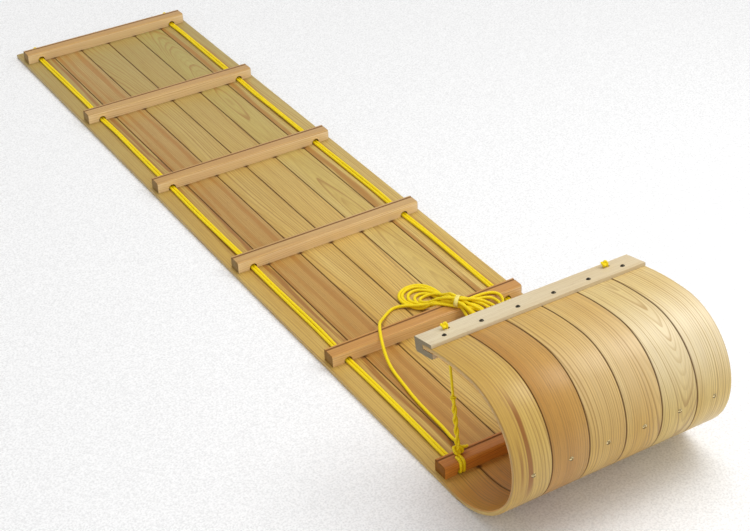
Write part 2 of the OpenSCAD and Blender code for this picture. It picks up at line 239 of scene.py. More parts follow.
def hankTurns():
    # loops out to the front right and the rear left by turns, all gripped at the neck
    neck = Vector(hank["neck"])
    neckAcross = Vector(hank["neckAcross"])
    loops = []
    for n in range(len(hank["rearLong"])):
        fore = Matrix.Rotation(math.radians(hank["foreTurn"][n]), 2) @ Vector(hank["foreWay"]).normalized()
        loops.append((fore, hank["foreLong"][n], hank["foreWide"][n], n))
        loops.append((Vector(hank["rearWay"]).normalized(), hank["rearLong"][n], -hank["rearWide"][n], n))
    path = []
    for k, (way, long, wide, layer) in enumerate(loops):
        across = Vector((way.y, -way.x))
        for s in range(hank["points"]):
            t = (s + 0.5) / hank["points"]
            out = math.sin(math.pi * t)
            strand = k + (t > 0.5)
            row, column = divmod(strand, 4)
            side = (column - 1.5) * hank["neckGap"] * (1 - out)
            bulge = across * wide * math.sin(2 * math.pi * t) * out ** 0.1
            p = neck + way * long * out + bulge + neckAcross * side
            lift = row * hank["neckLayer"] * (1 - out) + layer * 1.5 * out
            path.append([p.x, p.y, barHill(p.y) + lift])
    return path


settling = {"rounds": 140, "push": 0.28, "upward": 1.2, "longest": 1.5, "smooth": 0.10, "spring": 0.06,
            "sag": 0.05}


def settle(path, fixed, thick):
    # pushes the turns apart until they lie beside and on each other
    p = np.array(path, float)
    start = p.copy()
    count = len(p)
    free = np.ones(count, bool)
    free[:fixed[0]] = False
    free[count - fixed[1]:] = False
    index = np.arange(count)
    apart = np.abs(index[:, None] - index[None, :]) > 5
    for r in range(settling["rounds"]):
        gap = p[:, None, :] - p[None, :, :]
        far = np.linalg.norm(gap, axis=2) + 1e-6
        close = apart & (far < thick)
        push = np.where(close, (thick - far) / far, 0)[:, :, None] * gap * settling["push"]
        move = push.sum(1)
        move[:, 2] *= settling["upward"]
        size = np.linalg.norm(move, axis=1)
        move *= np.minimum(1, settling["longest"] / np.maximum(size, 1e-9))[:, None]
        p[free] += move[free]
        mid = (np.roll(p, 1, 0) + np.roll(p, -1, 0)) / 2
        p[free] += settling["smooth"] * (mid - p)[free]
        p[free, :2] += settling["spring"] * (start - p)[free, :2]
        p[free, 2] -= settling["sag"]
        floor = np.array([barHill(y) for y in p[:, 1]])
        p[free, 2] = np.maximum(p[free, 2], floor[free])
    return p


# finishes
def newGroup(name, inputs, outputs):
    tree = bpy.data.node_groups.new(name, "ShaderNodeTree")
    for label, kind, value in inputs:
        socket = tree.interface.new_socket(name=label, in_out="INPUT", socket_type="NodeSocket" + kind)
        if kind != "Vector":
            socket.default_value = value
    for label, kind in outputs:
        tree.interface.new_socket(name=label, in_out="OUTPUT", socket_type="NodeSocket" + kind)
    return tree, tree.nodes.new("NodeGroupInput"), tree.nodes.new("NodeGroupOutput")


def plug(tree, socket, value):
    if isinstance(value, bpy.types.NodeSocket):
        tree.links.new(value, socket)
    else:
        socket.default_value = value


def calc(tree, op, a, b=0.0):
    node = tree.nodes.new("ShaderNodeMath")
    node.operation = op
    for socket, value in zip(node.inputs, (a, b)):
        plug(tree, socket, value)
    return node.outputs[0]


def times(tree, a, b):
    return calc(tree, "MULTIPLY", a, b)


def plus(tree, a, b):
    return calc(tree, "ADD", a, b)


def minus(tree, a, b):
    return calc(tree, "SUBTRACT", a, b)


def ramp(tree, value, low, high, toLow=0.0, toHigh=1.0, kind="SMOOTHSTEP"):
    node = tree.nodes.new("ShaderNodeMapRange")
    node.interpolation_type = kind
    for label, v in (("Value", value), ("From Min", low), ("From Max", high), ("To Min", toLow),
                     ("To Max", toHigh)):
        plug(tree, node.inputs[label], v)
    return node.outputs[0]


def mixed(tree, share, a, b):
    node = tree.nodes.new("ShaderNodeMix")
    node.data_type = "RGBA"
    plug(tree, node.inputs[0], share)
    plug(tree, node.inputs[6], a)
    plug(tree, node.inputs[7], b)
    return node.outputs[2]


def vectorOf(tree, x, y, z):
    node = tree.nodes.new("ShaderNodeCombineXYZ")
    for socket, value in zip(node.inputs, (x, y, z)):
        plug(tree, socket, value)
    return node.outputs[0]


def parts(tree, vector):
    node = tree.nodes.new("ShaderNodeSeparateXYZ")
    tree.links.new(vector, node.inputs[0])
    return node.outputs


def stretched(tree, vector, scale, seed):
    # the vector times a scale for each axis, moved on by the seed
    node = tree.nodes.new("ShaderNodeVectorMath")
    node.operation = "MULTIPLY_ADD"
    tree.links.new(vector, node.inputs[0])
    node.inputs[1].default_value = scale
    shift = tree.nodes.new("ShaderNodeVectorMath")
    shift.operation = "SCALE"
    shift.inputs[0].default_value = (3.1, 7.7, 5.3)
    plug(tree, shift.inputs["Scale"], seed)
    tree.links.new(shift.outputs[0], node.inputs[2])
    return node.outputs[0]


def noise(tree, vector, scale=1.0, detail=2.0, rough=0.5, out="Fac"):
    node = tree.nodes.new("ShaderNodeTexNoise")
    tree.links.new(vector, node.inputs["Vector"])
    node.inputs["Scale"].default_value = scale
    node.inputs["Detail"].default_value = detail
    node.inputs["Roughness"].default_value = rough
    return node.outputs[out]


def speckle(tree, vector, scale, seed, detail=2.0, rough=0.5, out="Fac"):
    return noise(tree, stretched(tree, vector, scale, seed), 1.0, detail, rough, out)


def makeRingGroup():
    # growth rings of a log cut lengthways: lines on the face, arches where the log wanders, arcs on the ends
    tree, given, out = newGroup("growthRings", [
        ("Place", "Vector", None), ("Seed", "Float", 0.0), ("Pith Across", "Float", 0.02),
                                                ("Pith Depth", "Float", 0.06),
        ("Tilt", "Float", 0.01), ("Ring Gap", "Float", 0.003), ("Wander", "Float", 0.03)],
        [("Late Wood", "Float"), ("Fibre", "Float"), ("Pores", "Float"), ("Tone", "Float")])
    i = given.outputs
    slow = speckle(tree, i["Place"], (5.0, 1.3, 5.0), i["Seed"], 1.0, 0.4, "Color")
    quick = speckle(tree, i["Place"], (45.0, 5.0, 45.0), i["Seed"], 2.0, 0.5, "Color")
    place, slowly, quickly = parts(tree, i["Place"]), parts(tree, slow), parts(tree, quick)

    def moved(axis, by):
        far = times(tree, minus(tree, slowly[axis], 0.5), i["Wander"])
        near = times(tree, minus(tree, quickly[axis], 0.5), 0.0030)
        return plus(tree, minus(tree, place[axis], by), plus(tree, far, near))

    across = moved(0, i["Pith Across"])
    depth = plus(tree, moved(2, i["Pith Depth"]), times(tree, place[1], i["Tilt"]))
    radius = calc(tree, "SQRT", plus(tree, times(tree, across, across), times(tree, depth, depth)))
    years = calc(tree, "DIVIDE", radius, i["Ring Gap"])
    uneven = noise(tree, vectorOf(tree, times(tree, years, 0.35), i["Seed"], 0.0), 1.0, 1.0)
    years = plus(tree, years, times(tree, uneven, 1.6))
    part = calc(tree, "FRACT", years)
    late = times(tree, ramp(tree, part, 0.40, 0.88), ramp(tree, part, 0.92, 1.0, 1.0, 0.0))
    year = noise(tree, vectorOf(tree, calc(tree, "FLOOR", years), i["Seed"], 3.0), 0.73, 0.0)
    late = times(tree, late, ramp(tree, year, 0.35, 0.65, 0.3, 1.0))
    fibre = speckle(tree, i["Place"], (700.0, 9.0, 700.0), i["Seed"], 3.0, 0.6)
    pore = speckle(tree, i["Place"], (1500.0, 60.0, 1500.0), i["Seed"], 1.0, 0.5)
    pores = times(tree, ramp(tree, pore, 0.60, 0.72), ramp(tree, part, 0.0, 0.45, 1.0, 0.25))
    tone = speckle(tree, i["Place"], (14.0, 1.1, 14.0), i["Seed"], 2.0, 0.5)
    for label, value in (("Late Wood", late), ("Fibre", fibre), ("Pores", pores), ("Tone", tone)):
        tree.links.new(value, out.inputs[label])
    return tree


def makeStreakGroup():
    # a darker streak of heartwood that runs along a board at one place across it
    tree, given, out = newGroup("heartStreak", [
        ("Place", "Vector", None), ("Seed", "Float", 0.0), ("Across", "Float", 0.0),
                                                ("Half Width", "Float", 0.006),
        ("Wander", "Float", 0.01), ("From", "Float", -9.0), ("To", "Float", 9.0)], [("Mask", "Float")])
    i = given.outputs
    drift = speckle(tree, i["Place"], (6.0, 2.2, 6.0), i["Seed"], 2.0, 0.5)
    ragged = speckle(tree, i["Place"], (160.0, 4.0, 160.0), i["Seed"], 2.0, 0.6)
    place = parts(tree, i["Place"])
    off = minus(tree, place[0], i["Across"])
    off = plus(tree, off, times(tree, minus(tree, drift, 0.5), i["Wander"]))
    off = plus(tree, calc(tree, "ABSOLUTE", off), times(tree, minus(tree, ragged, 0.5), 0.020))
    mask = ramp(tree, calc(tree, "DIVIDE", off, i["Half Width"]), 0.35, 1.0, 1.0, 0.0)
    start = ramp(tree, minus(tree, place[1], i["From"]), 0.0, 0.08)
    end = ramp(tree, minus(tree, i["To"], place[1]), 0.0, 0.08)
    tree.links.new(times(tree, mask, times(tree, start, end)), out.inputs["Mask"])
    return tree


def makeEdgeShadeGroup():
    # darker near a board's long edges: mostly painted shade for the gaps between boards, partly varnish
    # gathered at the edge
    tree, given, out = newGroup("boardEdgeShade", [
        ("Place", "Vector", None), ("Half Width", "Float", 0.0377), ("Band", "Float", 0.003)],
                                [("Mask", "Float")])
    i = given.outputs
    place = parts(tree, i["Place"])
    off = minus(tree, i["Half Width"], calc(tree, "ABSOLUTE", place[0]))
    rough = speckle(tree, i["Place"], (90.0, 12.0, 90.0), 1.0, 2.0, 0.5)
    off = plus(tree, off, times(tree, rough, 0.0015))
    tree.links.new(ramp(tree, calc(tree, "DIVIDE", off, i["Band"]), 0.3, 1.1, 1.0, 0.0), out.inputs["Mask"])
    return tree


ringGroup = makeRingGroup()
streakGroup = makeStreakGroup()
edgeShadeGroup = makeEdgeShadeGroup()


def useGroup(tree, group, **values):
    node = tree.nodes.new("ShaderNodeGroup")
    node.node_tree = group
    for label, value in values.items():
        plug(tree, node.inputs[label], value)
    return node.outputs


def colour(rgb):
    return (*rgb, 1.0)


def newFinish(name):
    finish = bpy.data.materials.new(name)
    finish.use_nodes = True
    tree = finish.node_tree
    return finish, tree, tree.nodes["Principled BSDF"]


def attribute(tree, name):
    node = tree.nodes.new("ShaderNodeAttribute")
    node.attribute_name = name
    return node.outputs["Vector"]


def addBump(tree, shader, height, strength, distance):
    bump = tree.nodes.new("ShaderNodeBump")
    bump.inputs["Strength"].default_value = strength
    bump.inputs["Distance"].default_value = distance
    tree.links.new(height, bump.inputs["Height"])
    tree.links.new(bump.outputs[0], shader.inputs["Normal"])


def makeWood(name, look):
    finish, tree, shader = newFinish(name)
    place = attribute(tree, "grain")
    rings = useGroup(tree, ringGroup, **{"Place": place, "Seed": look["seed"], "Pith Across": look["pith"][0],
                                         "Pith Depth": look["pith"][1], "Tilt": look["tilt"],
                                         "Ring Gap": look["ringGap"], "Wander": look["wander"]})
    lateShare = times(tree, rings["Late Wood"], look["contrast"])
    body = mixed(tree, ramp(tree, rings["Tone"], 0.38, 0.62), colour(look["light"]), colour(look["warm"]))
    if "far" in look:
        body = mixed(tree,
                     ramp(tree, parts(tree, place)[1], -1.9, look.get("farFrom", -0.7), 0.85, 0.0, "LINEAR"),
                     body, colour(look["far"]))
    # painted bounce light: the curl's inner face, from just behind where it starts, takes a saturated orange
    # for light thrown back and forth inside the curl
    if "inside" in look:
        where = parts(tree, place)
        inside = times(tree, ramp(tree, where[2], 0.006, 0.008), ramp(tree, where[1], -0.05, 0.03))
        body = mixed(tree, times(tree, inside, 0.80), body, colour(look["inside"]))
    body = mixed(tree, lateShare, body, colour(look["late"]))
    for streak in look.get("streaks", []):
        mask = useGroup(tree, streakGroup,
                        **{"Place": place, "Seed": look["seed"] + streak["at"] * 50, "Across": streak["at"],
                           "Half Width": streak["wide"], "Wander": streak.get("wander", 0.035),
                           "From": streak.get("from", -9.0), "To": streak.get("to", 9.0)})["Mask"]
        body = mixed(tree, times(tree, mask, streak["share"]), body, colour(look["heart"]))
    body = mixed(tree, ramp(tree, rings["Fibre"], 0.38, 0.68, 0.0, 0.42), body, colour(look["late"]))
    body = mixed(tree, times(tree, rings["Pores"], look["pores"]), body, colour(look["pore"]))
    at = parts(tree, place)
    # painted highlight: a pale band part way round the curl where the soft box shines, strongest on the far
    # slats; each look's pale value sets its share
    if "pale" in look:
        paintedHighlight = times(tree, ramp(tree, at[1], 0.26, 0.38, 0.0, look["pale"]),
                        ramp(tree, at[1], 0.42, 0.54, 1.0, 0.3))
        body = mixed(tree, paintedHighlight, body,
                     mixed(tree, lateShare, (0.86, 0.76, 0.56, 1), (0.50, 0.34, 0.13, 1)))
    # painted shade along the boards' long edges, stronger where a gap runs under a crossbar's front edge; left
    # off the outer side of the two end slats
    if "halfWide" in look:
        edge = useGroup(tree, edgeShadeGroup, **{"Place": place, "Half Width": look["halfWide"]})["Mask"]
        corner = useGroup(tree, edgeShadeGroup,
                          **{"Place": place, "Half Width": look["halfWide"], "Band": 0.009})["Mask"]
        near = 0.0
        for low in barLow:
            gap = calc(tree, "ABSOLUTE", minus(tree, at[1], curlY - low.y))
            near = calc(tree, "MAXIMUM", near, ramp(tree, gap, 0.0045, 0.0090, 1.0, 0.0))
        edge = calc(tree, "MAXIMUM", times(tree, edge, 0.8), times(tree, corner, near))
        side = look.get("openSide", 0)
        inner = ramp(tree, times(tree, at[0], float(side)), 0.02, 0.03, 1.0, 0.0)
        body = mixed(tree, times(tree, edge, inner), body, colour(look["pore"]))
    # painted light and shade on the crossbars: the front face is painted paler, as if lit from the front, and
    # the top is painted darker
    if "frontAt" in look:
        front = ramp(tree, at[0], look["frontAt"], look["frontAt"] + 0.0007, look["paintedFrontShare"], 0.0)
        body = mixed(tree, front, body,
                     mixed(tree, lateShare, colour(look["paintedFrontLight"]), colour(look["light"])))
        groove = calc(tree, "ABSOLUTE", minus(tree, at[0], look["grooveAt"]))
        top = ramp(tree, at[2], look["topAt"] - 0.0012, look["topAt"] - 0.0002)
        body = mixed(tree, times(tree, top, 0.45), body, colour(look["late"]))
        # painted shade in and just beside the groove along the rear of the top
        groove = times(tree, ramp(tree, groove, 0.0014, 0.0034, 0.85, 0.0), ramp(tree, at[2], 0.007, 0.008))
        body = mixed(tree, groove, body, colour(look["pore"]))
    # darker, less glossy ends: partly the end grain's own tone, partly painted shade on the ends
    if "endAt" in look:
        end = ramp(tree, calc(tree, "ABSOLUTE", at[1]), look["endAt"], look["endAt"] + 0.0005, 0.0, 0.8)
        body = mixed(tree, end, body, colour([c * 0.25 for c in look["warm"]]))
        tree.links.new(minus(tree, 0.4, times(tree, end, 0.45)), shader.inputs["Specular IOR Level"])
        coat = minus(tree, look.get("coat", 0.35), times(tree, end, 0.44))
        tree.links.new(calc(tree, "MAXIMUM", coat, 0.0), shader.inputs["Coat Weight"])
    tree.links.new(body, shader.inputs["Base Color"])
    rough = ramp(tree, rings["Fibre"], 0.3, 0.75, look["rough"] - 0.05, look["rough"] + 0.10)
    tree.links.new(rough, shader.inputs["Roughness"])
    shader.inputs["Coat Weight"].default_value = look.get("coat", 0.35)
    shader.inputs["Coat Roughness"].default_value = 0.33
    shader.inputs["Specular IOR Level"].default_value = 0.3
    height = plus(tree, times(tree, rings["Late Wood"], 0.5), times(tree, rings["Fibre"], 0.5))
    height = minus(tree, height, times(tree, rings["Pores"], 0.8))
    addBump(tree, shader, height, 0.45, 0.0002)
    return finish


# inside is the painted bounce-light colour on the curl's inner face
slatBase = {"light": (0.69, 0.475, 0.135), "warm": (0.626, 0.387, 0.0832), "late": (0.36, 0.19, 0.045),
            "pore": (0.17, 0.075, 0.018), "heart": (0.40, 0.175, 0.03), "far": (0.41, 0.33, 0.11),
            "pith": (0.01, 0.09),
            "tilt": 0.008, "ringGap": 0.0028, "inside": (0.64, 0.27, 0.025), "wander": 0.05,
            "contrast": 0.70, "pores": 0.35, "rough": 0.40, "halfWide": slatWide / 2}
# pale is each slat's share of the painted highlight on the curl
slatLooks = [
    dict(slatBase, seed=1.0, openSide=-1, light=(0.626, 0.424, 0.11), warm=(0.574, 0.356, 0.0728),
         pith=(0.09, 0.08), ringGap=0.0038, contrast=0.70, heart=(0.30, 0.11, 0.018),
         streaks=[{"at": -0.006, "wide": 0.0065, "share": 1.0, "from": 0.19, "to": 0.45, "wander": 0.022},
                  {"at": -0.019, "wide": 0.0050, "share": 0.8, "from": 0.22, "to": 0.36, "wander": 0.02},
                  {"at": 0.031, "wide": 0.006, "share": 0.85, "to": -0.02},
                  {"at": 0.010, "wide": 0.011, "share": 0.7, "to": -0.05}]),
    dict(slatBase, seed=2.0, far=(0.50, 0.37, 0.14), farFrom=-0.25, light=(0.563, 0.31, 0.0728),
         warm=(0.491, 0.233, 0.0416), pith=(0.15, 0.06), ringGap=0.0040,
         contrast=0.85, pores=0.6, wander=0.03,
         streaks=[{"at": 0.022, "wide": 0.009, "share": 0.75, "to": -0.05},
                  {"at": -0.010, "wide": 0.007, "share": 0.6, "to": -0.05},
                  {"at": -0.033, "wide": 0.004, "share": 0.8, "to": -0.05}]),
    dict(slatBase, seed=3.0, pale=0.22, light=(0.71, 0.496, 0.151), pith=(-0.055, 0.05), ringGap=0.0036,
         tilt=0.02, contrast=0.85),
    dict(slatBase, seed=4.0, pale=0.32, light=(0.699, 0.47, 0.13), warm=(0.626, 0.382, 0.078),
         pith=(0.05, 0.05), ringGap=0.0038, tilt=0.015, contrast=0.85),
    dict(slatBase, seed=5.6, pale=0.55, light=(0.71, 0.527, 0.172), warm=(0.647, 0.459, 0.125),
         far=(0.41, 0.36, 0.11), pith=(0.006, 0.028), ringGap=0.0028, tilt=0.022, wander=0.08, contrast=0.80),
    dict(slatBase, seed=6.0, openSide=1, pale=0.65, light=(0.752, 0.558, 0.182), warm=(0.668, 0.455, 0.114),
         pith=(-0.09, 0.06), ringGap=0.0040, contrast=0.80,
         streaks=[{"at": -0.030, "wide": 0.010, "share": 0.85, "to": -0.05},
                  {"at": 0.0, "wide": 0.012, "share": 0.75, "to": -0.05}]),
]
barBase = {"light": (0.81, 0.56, 0.23), "warm": (0.74, 0.46, 0.165), "late": (0.42, 0.22, 0.07),
           "pore": (0.22, 0.09, 0.02),
           "heart": (0.3, 0.12, 0.03), "pith": (0.035, 0.03), "tilt": 0.03, "ringGap": 0.0022, "wander": 0.03,
           "contrast": 0.95, "pores": 0.4, "rough": 0.42, "endAt": barHigh[0].x - 0.0009,
           "frontAt": -barWide / 2 + 0.0002, "grooveAt": barWide / 2 - bars["beadFromRear"],
           "paintedFrontShare": 0.85, "topAt": (barTop - deck["thick"]) / 2, "paintedFrontLight": (0.95, 0.70, 0.38)}
# front two crossbars: partly warmer wood, partly painted shade and bounce light from the curl over them; their
# fronts get less or none of the painted front light
redderWoodAndCurlShade = {"paintedFrontShare": 0.5, "light": (0.80, 0.47, 0.14), "warm": (0.72, 0.37, 0.09),
          "late": (0.42, 0.18, 0.04)}
reddestWoodAndCurlShade = {"paintedFrontShare": 0.0, "light": (0.80, 0.35, 0.060), "warm": (0.68, 0.26, 0.035),
           "late": (0.40, 0.12, 0.015)}
barLooks = [dict(barBase, seed=11.0, **reddestWoodAndCurlShade), dict(barBase, seed=12.0, **redderWoodAndCurlShade), dict(barBase, seed=13.0),
            dict(barBase, seed=14.0), dict(barBase, seed=15.0), dict(barBase, seed=16.0)]
slatWood = [makeWood("slatWood%d" % (n + 1), look) for n, look in enumerate(slatLooks)]
barWood = [makeWood("barWood%d" % (n + 1), look) for n, look in enumerate(barLooks)]
noseWood = makeWood("noseWood",
                    dict(barBase, seed=21.0, light=(0.74, 0.64, 0.44), warm=(0.68, 0.55, 0.34),
                         late=(0.48, 0.34, 0.17),
                         contrast=0.45, ringGap=0.0030, coat=0.05, rough=0.5, endAt=0.2278, frontAt=-1.0,
                         grooveAt=9.0))
battenWood = makeWood("battenWood", dict(barBase, seed=22.0))


def makeCordFinish(name, body, groove):
    finish, tree, shader = newFinish(name)
    node = tree.nodes.new("ShaderNodeUVMap")
    node.uv_map = "lay"
    place = parts(tree, node.outputs[0])
    cells = times(tree, place[1], float(braid["cells"]))
    runs = calc(tree, "DIVIDE", place[0], braid["cellLong"])
    a, b = plus(tree, cells, runs), minus(tree, cells, runs)
    sine = lambda v: calc(tree, "ABSOLUTE", calc(tree, "SINE", times(tree, v, math.pi)))
    bump = calc(tree, "SQRT", times(tree, sine(a), sine(b)))
    both = plus(tree, calc(tree, "FLOOR", a), calc(tree, "FLOOR", b))
    odd = calc(tree, "ABSOLUTE", calc(tree, "MODULO", both, 2.0))
    chosen = plus(tree, times(tree, a, odd), times(tree, b, minus(tree, 1.0, odd)))
    threads = calc(tree, "ABSOLUTE", calc(tree, "SINE", times(tree, chosen, math.pi * 4)))
    geometry = tree.nodes.new("ShaderNodeTexCoord")
    slow = speckle(tree, geometry.outputs["Object"], (30.0, 30.0, 30.0), 2.0, 2.0)
    # painted shade in the braid's hollows: the groove colour between the bumps and along the threads
    shade = mixed(tree, ramp(tree, bump, 0.05, 0.65), colour(groove), colour(body))
    shade = mixed(tree, ramp(tree, threads, 0.0, 0.6, 0.25, 0.0), shade, colour(groove))
    shade = mixed(tree, ramp(tree, slow, 0.35, 0.7, 0.0, 0.25), shade, colour([c * 0.85 for c in body]))
    tree.links.new(shade, shader.inputs["Base Color"])
    tree.links.new(ramp(tree, threads, 0.0, 1.0, 0.55, 0.38), shader.inputs["Roughness"])
    shader.inputs["Specular IOR Level"].default_value = 0.35
    addBump(tree, shader, plus(tree, times(tree, threads, 0.35), bump), 0.5, 0.0004)
    return finish


# the second colour is the painted shade in the braid's hollows
yellowCord = makeCordFinish("yellowCord", (1.0, 0.80, 0.006), (0.84, 0.53, 0.003))


def makeMetal(name, bright, dull, metallic, rough):
    finish, tree, shader = newFinish(name)
    place = tree.nodes.new("ShaderNodeTexCoord").outputs["Object"]
    blot = speckle(tree, place, (420.0, 420.0, 420.0), 1.0, 3.0, 0.6)
    fine = speckle(tree, place, (2400.0, 2400.0, 2400.0), 4.0, 2.0, 0.6)
    # painted shade: the downward-facing side of each head is darkened almost to black
    shadeNormalZ = parts(tree, tree.nodes.new("ShaderNodeNewGeometry").outputs["Normal"])[2]
    body = mixed(tree, ramp(tree, blot, 0.4, 0.65), colour(bright), colour(dull))
    body = mixed(tree, ramp(tree, shadeNormalZ, -0.30, -0.12, 0.95, 0.0), body, colour([c * 0.12 for c in dull]))
    tree.links.new(body, shader.inputs["Base Color"])
    tree.links.new(ramp(tree, fine, 0.3, 0.7, rough - 0.08, rough + 0.12), shader.inputs["Roughness"])
    shader.inputs["Metallic"].default_value = metallic
    addBump(tree, shader, fine, 0.25, 0.0001)
    return finish


darkScrew = makeMetal("darkScrew", (0.10, 0.085, 0.06), (0.035, 0.03, 0.025), 0.9, 0.34)
brassScrew = makeMetal("brassScrew", (0.92, 0.76, 0.42), (0.40, 0.27, 0.10), 1.0, 0.20)
print("finishes are made")


# shapes in wood
def nearly(a, b):
    return abs(a - b) < 1e-5


def selectAll():
    bpy.ops.mesh.select_all(action="SELECT")


def editOn(piece):
    choose(piece)
    bpy.ops.object.mode_set(mode="EDIT")
    bpy.ops.mesh.select_all(action="DESELECT")


def pick(piece, test, kind="EDGE"):
    # selects edges or faces whose middle passes the test
    bpy.ops.mesh.select_mode(type=kind)
    bpy.ops.mesh.select_all(action="DESELECT")
    shape = bmesh.from_edit_mesh(piece.data)
    for item in (shape.edges if kind == "EDGE" else shape.faces):
        mid = sum((v.co for v in item.verts), Vector()) / len(item.verts)
        if test(mid, item):
            item.select_set(True)
    bmesh.update_edit_mesh(piece.data)


def easeEdges(piece, wide, segments, test):
    pick(piece, test)
    bpy.ops.mesh.bevel(offset=wide, segments=segments, affect="EDGES")


def boxBlank(name, low, high):
    deselectAll()
    mid = (Vector(low) + Vector(high)) / 2
    bpy.ops.mesh.primitive_cube_add(size=1, location=mid)
    piece = bpy.context.object
    piece.name = name
    piece.data.name = name
    piece.scale = Vector(high) - Vector(low)
    applyPlace()
    return piece


def sectionRing(name, x, y, z, wide, high, edge):
    # a section with eased corners, as a ring of edges that faces along the deck
    deselectAll()
    bpy.ops.mesh.primitive_plane_add(size=1, location=(x, y, z), rotation=(math.pi / 2, 0, 0))
    piece = bpy.context.object
    piece.name = name
    piece.data.name = name
    piece.scale = (wide, high, 1)
    applyPlace()
    bpy.ops.object.mode_set(mode="EDIT")
    selectAll()
    bpy.ops.mesh.bevel(offset=edge, affect="VERTICES", segments=3)
    bpy.ops.mesh.delete(type="ONLY_FACE")
    selectAll()
    return piece


def spinOn(centre, angle, steps):
    bpy.ops.mesh.spin(steps=steps, angle=angle, center=centre, axis=(1, 0, 0), dupli=False)


def closeUp(piece, sharp=32):
    bpy.ops.mesh.select_mode(type="VERT")
    selectAll()
    bpy.ops.mesh.remove_doubles(threshold=0.00001)
    bpy.ops.mesh.fill_holes(sides=0)
    selectAll()
    bpy.ops.mesh.normals_make_consistent(inside=False)
    choose(piece)
    smoothBelow(sharp)


def cut(piece, cutter):
    # takes the cutter's shape out of the piece
    choose(piece)
    m = piece.modifiers.new("cut", "BOOLEAN")
    m.operation = "DIFFERENCE"
    m.solver = "EXACT"
    m.object = cutter
    bpy.ops.object.modifier_apply(modifier=m.name)


def remove(*pieces):
    for p in pieces:
        bpy.data.objects.remove(p)


def setGrain(piece, where):
    # (across, along, depth) of each point in the board before it was bent
    data = piece.data.attributes.new("grain", "FLOAT_VECTOR", "POINT")
    values = [tuple(where(v.co)) for v in piece.data.vertices]
    data.data.foreach_set("vector", [c for v in values for c in v])


def unbend(p):
    # along and depth on a slat, measured from the start of the curl
    low, front = curl["lowRadius"], curl["frontRadius"]
    if p.y >= curlY - 1e-6 and p.z < 0.1:
        return curlY - p.y, p.z
    a = math.atan2(lowC.y - p.y, lowC.z - p.z)
    if a <= curl["lowAngle"] + 1e-4 and p.z < frontC.z:
        return low * a, low - math.hypot(p.y - lowC.y, p.z - lowC.z)
    if p.y < frontC.y + 1e-5:
        a = math.atan2(frontC.y - p.y, frontC.z - p.z)
        return low * curl["lowAngle"] + front * (a - curl["lowAngle"]), front - math.hypot(p.y - frontC.y,
                                                                                           p.z - frontC.z)
    a = math.atan2(p.y - topC.y, p.z - topC.z)
    start = low * curl["lowAngle"] + front * (math.pi - curl["lowAngle"])
    return start + curl["topRadius"] * a, curl["topRadius"] - math.hypot(p.y - topC.y, p.z - topC.z)


screwAside = 0.020
sink = {"wide": 0.0055, "tip": 0.0006, "deep": 0.0056, "at": 0.0018}


def screwXs(x):
    # the outer slats have two screws at each crossbar, either side of the notch
    if abs(abs(x) - cord["lineX"]) < screwAside:
        return [math.copysign(cord["lineX"], x) + s * screwAside for s in (-1, 1)]
    return [x]


def makeSlat(index):
    x = slatX[index]
    slat = sectionRing("slat%d" % (index + 1), x, rearY, deck["thick"] / 2, slatWide, deck["thick"],
                       deck["edge"])
    bpy.ops.mesh.extrude_region_move(TRANSFORM_OT_translate={"value": (0, curlY - rearY, 0)})
    spinOn(lowC, curl["lowAngle"], 28)
    spinOn(frontC, math.pi - curl["lowAngle"], 64)
    spinOn(topC, curl["topAngle"] + curl["slotDepth"] / curl["topRadius"], 12)
    closeUp(slat)
    cutters = []
    for low, high in zip(barLow, barHigh):
        for sx in screwXs(x):
            deselectAll()
            bpy.ops.mesh.primitive_cone_add(vertices=32, radius1=sink["wide"], radius2=sink["tip"],
                                            depth=sink["deep"],
                                            location=(sx, (low.y + high.y) / 2, sink["at"]))
            applyPlace()
            cutters.append(bpy.context.object)
    cutter = joined("sinks", cutters)
    cut(slat, cutter)
    remove(cutter)
    smoothBelow(32)
    setGrain(slat, lambda p: (p.x - x, *unbend(p)))
    finishPiece(slat, slatWood[index], "slat_wood", "slat_%d" % (index + 1))


def makeCrossbar():
    # the front crossbar: round front edge, groove and bead along the rear, an arch over each hand line
    low, high = barLow[0], barHigh[0]

    def onEnd(middle, edge):
        around = nearly(abs(middle.x), high.x) and all(nearly(abs(v.co.x), high.x) for v in edge.verts)
        return around and any(abs(f.normal.x) < 0.5 for f in edge.link_faces)

    bar = boxBlank("crossbarMaster", low, high)
    editOn(bar)
    easeEdges(bar, bars["round"], 7, lambda m, e: nearly(m.y, low.y) and nearly(m.z, high.z))
    easeEdges(bar, 0.0016, 3, lambda m, e: nearly(m.y, high.y) and nearly(m.z, high.z))
    grooveY = high.y - bars["beadFromRear"]
    for y in (grooveY - 0.0017, grooveY - 0.0010, grooveY, grooveY + 0.0010, grooveY + 0.0017):
        selectAll()
        bpy.ops.mesh.bisect(plane_co=(0, y, 0), plane_no=(0, 1, 0))
    for y, depth in ((grooveY - 0.0010, 0.0014), (grooveY, 0.0019), (grooveY + 0.0010, 0.0014)):
        pick(bar, lambda m, e: nearly(m.z, high.z) and all(nearly(v.co.y, y) for v in e.verts))
        bpy.ops.transform.translate(value=(0, 0, -depth))
    easeEdges(bar, bars["ease"], 2, onEnd)
    selectAll()
    bpy.ops.mesh.normals_make_consistent(inside=False)
    deselectAll()
    wide, tall = bars["notchWide"], bars["notchHigh"]
    for s in (-1, 1):
        x = s * cord["lineX"]
        arch = boxBlank("arch", (x - wide / 2, low.y - 0.01, low.z - 0.01),
                        (x + wide / 2, high.y + 0.01, low.z + tall))
        editOn(arch)
        archTop = low.z + tall - 1e-5
        easeEdges(arch, wide * 0.48, 12, lambda m, e: m.z > archTop and nearly(abs(m.x - x), wide / 2))
        deselectAll()
        cut(bar, arch)
        remove(arch)
    choose(bar)
    smoothBelow(35)
    return bar


